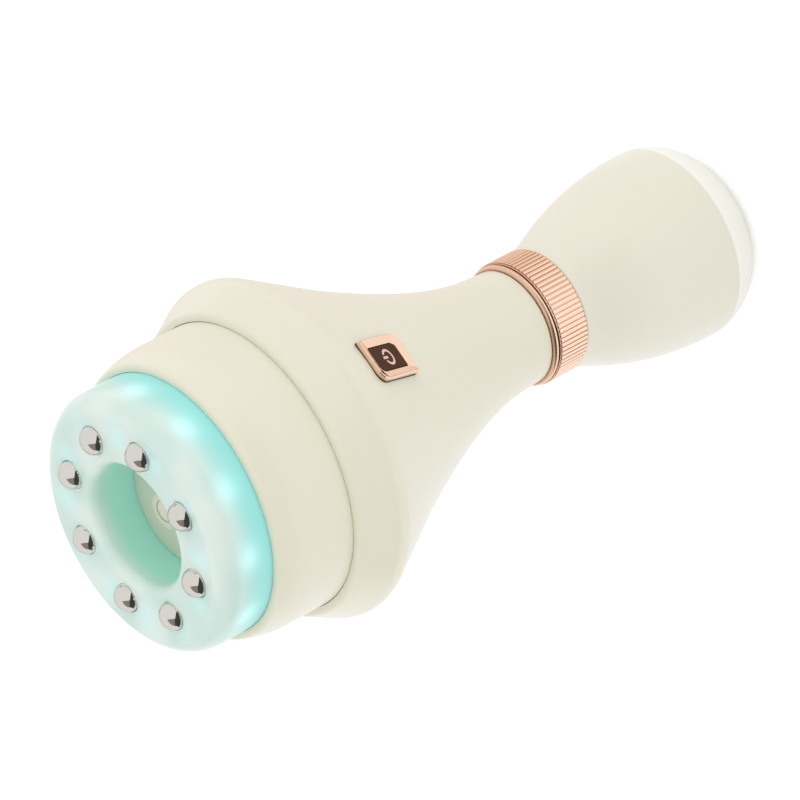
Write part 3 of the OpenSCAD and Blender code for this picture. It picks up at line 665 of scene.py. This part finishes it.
def lofted(name, sections):
    """Leaf sections (width, length, height) skinned in order, as a closed ring."""
    work = bmesh.new()
    rows = [
        [
            work.verts.new(button_frame @ Vector((x, y, height)))
            for x, y in leaf_outline(width, length)
        ]
        for width, length, height in sections
    ]
    for low, high in zip(rows, rows[1:] + rows[:1]):
        for i in range(len(low)):
            j = (i + 1) % len(low)
            work.faces.new((low[i], low[j], high[j], high[i]))
    return as_mesh(work, name)


def frame_section(inset, height):
    """A section of the frame that lies inside its outline by the inset."""
    return (frame_width - 2 * inset, frame_length - 2 * inset, height)


bezel = lofted("button_frame", [
    frame_section(0, frame_foot),
    frame_section(0, frame_rise - 0.25 * mm),
    frame_section(0.08 * mm, frame_rise - 0.08 * mm),
    frame_section(0.25 * mm, frame_rise),
    frame_section(0.4 * mm, frame_rise - 0.03 * mm),
    frame_section(0.5 * mm, frame_rise - 0.12 * mm),
    (hole_width + 0.1 * mm, hole_length + 0.1 * mm, key_top - 0.02 * mm),
    (hole_width, hole_length, key_top - 0.1 * mm),
    (hole_width, hole_length, frame_foot),
])


def frame_plate():
    """Rose gold plate, painted dark at its foot: a painted shadow where it stands in the shell's
    pocket.
    """
    finish = Finish("frame_plate", Metallic=1.0)
    height = finish.along(button_out) - button_middle.dot(button_out)
    return rose_gold(
        finish, height.ramp(0, 0.45 * mm), deep=(0.22, 0.09, 0.05), dull=(0.86, 0.60, 0.45),
        bright=(0.92, 0.67, 0.52), roughness=0.12, brushing=0.04, along=(1, 1, 1),
    )


def key_gloss():
    """Dark brown lacquer with a plain power mark: an open ring with a bar in its opening."""
    finish = Finish("key_gloss", Roughness=0.3, Specular_IOR_Level=0.03)
    mark_radius, line_width, mark_drop = 1.7 * mm, 0.34 * mm, 0.25 * mm
    half_opening, opening_edge = 0.65 * mm, 0.15 * mm
    bar_foot, bar_top, bar_edge = 0.2 * mm, 2.3 * mm, 0.1 * mm
    x = finish.split()[0]
    up = finish.along(button_up) - button_middle.dot(button_up) + mark_drop
    from_middle = (x * x + up * up) ** 0.5
    ring = (from_middle - mark_radius).hill(0, line_width).ramp(0.35, 0.55)
    opened = 1 - x.maths("ABSOLUTE").ramp(half_opening, half_opening + opening_edge)
    opened = opened * up.ramp(0, bar_foot)
    bar = x.hill(0, line_width).ramp(0.35, 0.55) * up.ramp(bar_foot, bar_foot + bar_edge)
    bar = bar * (1 - up.ramp(bar_top, bar_top + bar_edge))
    mark = bar.maths("MAXIMUM", ring * (1 - opened))
    lacquer = finish.blend(finish.noise(scale=300), (0.068, 0.023, 0.011), (0.086, 0.032, 0.016))
    finish.set(Base_Color=finish.blend(mark, lacquer, (0.80, 0.58, 0.46)))
    return finish.material


stands_for(shaped("button_frame", bezel, crease=25), "button_bezel", frame_plate())
smoothed("button_key", key_gloss())
dressed("switch_plunger", black_resin)
dressed("tact_switch", metal("switch_steel", (0.58, 0.58, 0.58), 0.35))
dressed("switch_board", green_board)

# The vacuum pump: a motor in a steel can, whose crank rocks a rubber diaphragm under a valve
# head. The housing and the crank are moulded in dark plastic, and screws clamp the stack.
dark_plastic = moulded("dark_plastic", (0.035, 0.035, 0.04), 0.5, mottle=0.2)
black_rubber = moulded("black_rubber", (0.025, 0.024, 0.023), 0.75, mottle=0.25)
dressed("pump_motor", metal("motor_can", (0.60, 0.60, 0.60), 0.3, 0.1, (1, 1, 0.2)))
dressed("motor_bushes", metal("sintered_bronze", (0.55, 0.36, 0.18), 0.5, 0.15))
dressed("motor_rotor", metal("rotor_copper", (0.75, 0.38, 0.20), 0.4, 0.2, (1, 1, 6)))
dressed("pump_crank", dark_plastic)
dressed("pump_housing", dark_plastic)
dressed("pump_diaphragm", black_rubber)
dressed("pump_head", natural_plastic)

# The air line: silicone tubes from the pump to a tee, then up to the cup and across to the valve
# that lets the cup go.
dressed("air_tubes", moulded("silicone_tube", (0.72, 0.75, 0.74), 0.4, mottle=0.08))
dressed("tee_fitting", natural_plastic)
dressed("release_valve", metal("valve_body", (0.55, 0.56, 0.58), 0.35))
dressed("valve_plunger", screw_steel)
dressed("valve_spring", metal("spring_wire", (0.5, 0.5, 0.5), 0.3))

# The cup seat: the floor of the suction cup, moulded in cream plastic round its nozzle. A plug of
# sintered plastic filters the nozzle, and a rubber ring in the hub's groove seals the cup.
# The seat's cream is painted darker and greener: painted shade and the bore's painted green light.
smoothed("cup_seat", moulded("seat_plastic", (0.66, 0.68, 0.55), 0.45, coat=0.2), crease=40)
dressed("nozzle_filter", moulded("sintered_plastic", (0.76, 0.75, 0.62), 0.8, mottle=0.1))
dressed("cup_seal", black_rubber)

# The light board: a white ring of fibreglass that lies on the cup seat, behind the frosted head.
# The lamps soldered to it are capped with yellow phosphor.
dressed("light_board", circuit_board("white_board", (0.62, 0.62, 0.60)))
dressed("lamps", moulded("lamp_phosphor", (0.90, 0.88, 0.45), 0.4))

# The wires: stranded copper in soft insulation, a pair for each thing that they feed. Every pair
# is a black wire and one in its own colour.
wire_black = (0.02, 0.02, 0.02)
for wires, colour in (
    ("battery_wires", (0.5, 0.02, 0.02)),
    ("switch_wires", (0.75, 0.75, 0.74)),
    ("light_wires", (0.7, 0.5, 0.03)),
    ("pump_wires", (0.02, 0.06, 0.35)),
):
    insulation = Finish(wires + "_insulation", Roughness=0.45)
    low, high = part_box(wires)
    side = (insulation.split()[0] - (low.x + high.x) / 2).ramp(-0.05 * mm, 0.05 * mm)
    insulation.set(Base_Color=insulation.blend(side, wire_black, colour))
    dressed(wires, insulation.material)


# The massage head: one frosted ring, with the light of the lamps behind it painted on as a glow.
# Its side wall is thin and its painted glow is strongest, each lamp makes a painted hot spot on
# it, and the bore has a painted green glow. Painted light leaks through the sockets of the balls
# too.
head_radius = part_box("massage_head")[1].x
bore_radius = 14.2 * mm
lamp_count = 12
lamp_phase = math.radians(14.5)
# Where the painted hot spots lie, and the heights over which the painted glow of wall and bore
# fades.
painted_wall_spot_height = 163.6 * mm
painted_wall_glow_fade = 159.5 * mm, 169 * mm
painted_bore_glow_fade = 164 * mm, 169.5 * mm
painted_face_spot_radius = 22.6 * mm
ball_count = 8
ball_low, ball_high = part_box("massage_ball_1")
ball_middle = (ball_low + ball_high) / 2
ball_radius = (ball_high.z - ball_low.z) / 2


def round_from_nearest(angle, radius, count, phase):
    """How far a place is, round the axis, from the nearest of some things set evenly."""
    step = math.tau / count
    turn = (angle - phase) / step
    return (turn - turn.maths("ROUND")) * step * radius


def frosted_glow():
    """Milky plastic, its own pale mint tint mixed with a painted glow on its wall, face and bore.
    """
    finish = Finish(
        "frosted_glow", Coat_Weight=0.3, Coat_Roughness=0.2, Emission_Strength=1.0
    )
    x, y, z = finish.split()
    radius = finish.from_axis()
    angle = y.maths("ARCTAN2", x)

    outside = radius.ramp(head_radius - 4 * mm, head_radius - 1 * mm)
    wall = outside * (1 - z.ramp(*painted_wall_glow_fade))
    face = (1 - outside) * radius.ramp(bore_radius + 1.0 * mm, bore_radius + 3.5 * mm)
    in_bore = 1 - radius.ramp(bore_radius, bore_radius + 1.4 * mm)
    bore = in_bore * (1 - z.ramp(*painted_bore_glow_fade))

    # Painted hot spots, one before each lamp, on the wall and on the face.
    from_lamp = round_from_nearest(angle, radius, lamp_count, lamp_phase)
    painted_wall_spots = from_lamp.hill(0, 3.4 * mm) * z.hill(painted_wall_spot_height, 2.8 * mm) * outside
    on_circle = radius.hill(painted_face_spot_radius, 3.8 * mm)
    painted_face_spots = from_lamp.hill(0, 3.1 * mm) * on_circle * face

    ball_phase = math.atan2(ball_middle.y, ball_middle.x)
    round_ball = round_from_nearest(angle, radius, ball_count, ball_phase)
    past_ball = radius - ball_middle.xy.length
    from_ball = (round_ball ** 2 + past_ball ** 2 + (z - ball_middle.z) ** 2) ** 0.5
    # A painted glow round each ball, as the lamps' light leaking through its socket.
    sockets = 1 - from_ball.ramp(ball_radius + 0.1 * mm, ball_radius + 0.25 * mm)

    clouds = finish.noise(scale=95, detail=0)
    tint_and_painted_glow = finish.blend(clouds.ramp(0.3, 0.7), (0.62, 0.785, 0.72), (0.74, 0.85, 0.785))
    # On the wall, round the face's hot spots and in the bore, the tint is painted glow colour.
    tint_and_painted_glow = finish.blend(wall, tint_and_painted_glow, (0.29, 0.73, 0.685))
    tint_and_painted_glow = finish.blend(painted_face_spots * 0.7, tint_and_painted_glow, (0.60, 0.85, 0.83))
    tint_and_painted_glow = finish.blend(bore, tint_and_painted_glow, (0.43, 0.69, 0.61))
    # The painted glow: emission that stands in for the lamps' light through the plastic.
    painted_glow = finish.blend(wall, (0.0, 0.0, 0.0), (0.035, 0.07, 0.075))
    painted_glow = finish.blend(painted_wall_spots, painted_glow, (0.16, 0.27, 0.29))
    painted_glow = finish.blend(painted_face_spots * 0.35, painted_glow, (0.05, 0.14, 0.15))
    painted_glow = finish.blend(bore, painted_glow, (0.02, 0.12, 0.09))
    painted_glow = finish.blend(sockets, painted_glow, (0.25, 0.33, 0.30))
    finish.set(Base_Color=tint_and_painted_glow, Emission_Color=painted_glow, Roughness=uneven(0.32, 0.1, clouds))
    return finish.material


smoothed("massage_head", frosted_glow(), crease=40)


# The massage balls: polished steel, free to roll in half-open sockets, each held down by the
# magnet under it.
def ball_polish():
    """Polished steel, painted darker at its outline: a painted reflection of its dark socket."""
    finish = Finish("ball_steel", Metallic=1.0, Roughness=0.06)
    scuffs = finish.noise(scale=900, detail=3)
    steel = finish.blend(scuffs, (0.83, 0.80, 0.74), (0.87, 0.84, 0.78))
    # A painted reflection: the steel's colour darkens towards the outline.
    outline = finish.turned_away().ramp(0.45, 0.95)
    finish.set(Base_Color=finish.blend(outline, steel, (0.40, 0.39, 0.37)))
    return finish.material


def polished_ball(node, finish):
    low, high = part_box(node)
    work = bmesh.new()
    bmesh.ops.create_uvsphere(
        work, u_segments=64, v_segments=40, radius=(high.z - low.z) / 2
    )
    bmesh.ops.translate(work, verts=work.verts, vec=(low + high) / 2)
    mesh = as_mesh(work, node + "_polished")
    stands_for(shaped(node + "_polished", mesh, crease=180), node, finish)


ball_steel = ball_polish()
for k in range(ball_count):
    polished_ball("massage_ball_" + str(k + 1), ball_steel)
dressed("ball_magnets", metal("magnet_nickel", (0.68, 0.66, 0.62), 0.2))


# The studio: a pale floor under the standing face, a white surround, and a broad soft lamp on the
# camera's side. A dark screen and a warm card are there for polished metal alone to mirror.
def grey(level):
    return (level, level, level)


def studio_floor():
    """Pale to the camera, darker in gloss, and it takes the massager's shadow."""
    finish = Finish(
        "studio_floor", Base_Color=(0.9, 0.9, 0.9, 1), Roughness=0.9, Emission_Strength=1.0
    )
    seen = finish.start.node("ShaderNodeLightPath", output="Is Camera Ray")
    mirrored = finish.start.node("ShaderNodeLightPath", output="Is Glossy Ray")
    lit = finish.blend(mirrored, grey(0), grey(0.2))
    finish.set(Emission_Color=finish.blend(seen, lit, grey(0.35)))
    bpy.ops.mesh.primitive_plane_add(size=8, location=(0, 0, -0.02 * mm))
    floor = bpy.context.active_object
    floor.name = "studio_floor"
    floor.data.materials.append(finish.material)


def studio_world():
    """White to the camera, and a fifth darker in gloss."""
    world = bpy.data.worlds.new("studio_white")
    world.use_nodes = True
    bpy.context.scene.world = world
    mirrored = Value(world.node_tree).node("ShaderNodeLightPath", output="Is Glossy Ray")
    background = world.node_tree.nodes["Background"]
    background.inputs["Color"].default_value = (1, 1, 1, 1)
    world.node_tree.links.new((1 - mirrored * 0.2).socket, background.inputs["Strength"])


def soft_lamp(name, direction, distance, size, power):
    """A square lamp that shines at the massager's middle and isn't mirrored in it."""
    lamp = bpy.data.objects.new(name, bpy.data.lights.new(name, "AREA"))
    lamp.data.size = size
    lamp.data.energy = power
    lamp.visible_glossy = False
    middle = Vector((0, 0, 95 * mm))
    lamp.location = middle + direction.normalized() * distance
    lamp.rotation_euler = (middle - lamp.location).to_track_quat("-Z", "Y").to_euler()
    bpy.context.collection.objects.link(lamp)


def mirrored_cloth(name, finish, corners, faces):
    """A cloth that shows in gloss, and neither in the picture nor in the light."""
    mesh = bpy.data.meshes.new(name)
    mesh.from_pydata(corners, [], faces)
    cloth = bpy.data.objects.new(name, mesh)
    cloth.data.materials.append(finish.material)
    cloth.visible_camera = cloth.visible_diffuse = cloth.visible_shadow = False
    bpy.context.collection.objects.link(cloth)


def dark_screen():
    """A fan of dark cloth. Its middle and its corners are given where a polished ball mirrors
    them, to the right and up of the ball's own middle, in its radii."""
    screen_distance = 0.9
    head_middle = Vector((0, 0, 170 * mm))
    finish = Finish("dark_felt", Base_Color=(0, 0, 0, 1), Roughness=1.0, Emission_Strength=1.0)
    across = finish.along(camera_right).ramp(-0.14, 0.0)
    shade = finish.blend(across, (0.25, 0.23, 0.20), (0.035, 0.038, 0.036))
    weave = finish.noise(scale=30).ramp(0.4, 0.8)
    finish.set(Emission_Color=finish.blend(weave * 0.3, shade, (0.16, 0.15, 0.14)))
    corners = []
    for right, up in (
        (0.25, -0.45), (0.13, 0.42), (0.62, 0.12), (0.78, -0.25), (0.66, -0.70), (0.15, -0.70),
        (-0.15, -0.63), (-0.32, -0.47), (-0.43, -0.30), (-0.20, -0.26), (0.06, -0.24),
    ):
        toward = math.sqrt(1 - right * right - up * up)
        normal = camera_right * right + camera_up * up + backward * toward
        mirrored = normal * (2 * normal.dot(backward)) - backward
        corners.append(head_middle + mirrored * screen_distance)
    edge = range(1, len(corners))
    fan = [(0, i, edge[i % len(edge)]) for i in edge]
    mirrored_cloth("dark_screen", finish, corners, fan)


def copper_card():
    """A warm card on the floor by the ring's far side, pale where it starts."""
    finish = Finish("card_felt", Base_Color=(0, 0, 0, 1), Roughness=1.0, Emission_Strength=1.0)
    away = finish.split()[0].ramp(20 * mm, 70 * mm)
    shade = finish.blend(away, (1.05, 1.0, 0.96), (0.87, 0.73, 0.645))
    weave = finish.noise(scale=40)
    finish.set(Emission_Color=finish.blend(weave * 0.1, shade, (0.9, 0.8, 0.7)))
    low_x, low_y, far = 24 * mm, -120 * mm, 420 * mm
    corners = [
        (x, y, -0.01 * mm) for x, y in ((low_x, low_y), (far, low_y), (far, far), (low_x, far))
    ]
    mirrored_cloth("copper_card", finish, corners, [(0, 1, 2, 3)])


studio_floor()
studio_world()
lamp_direction = 0.5 * backward + 0.9 * camera_up - 0.3 * camera_right
soft_lamp("key_lamp", lamp_direction, distance=1.3, size=1.0, power=1.6)
dark_screen()
copper_card()
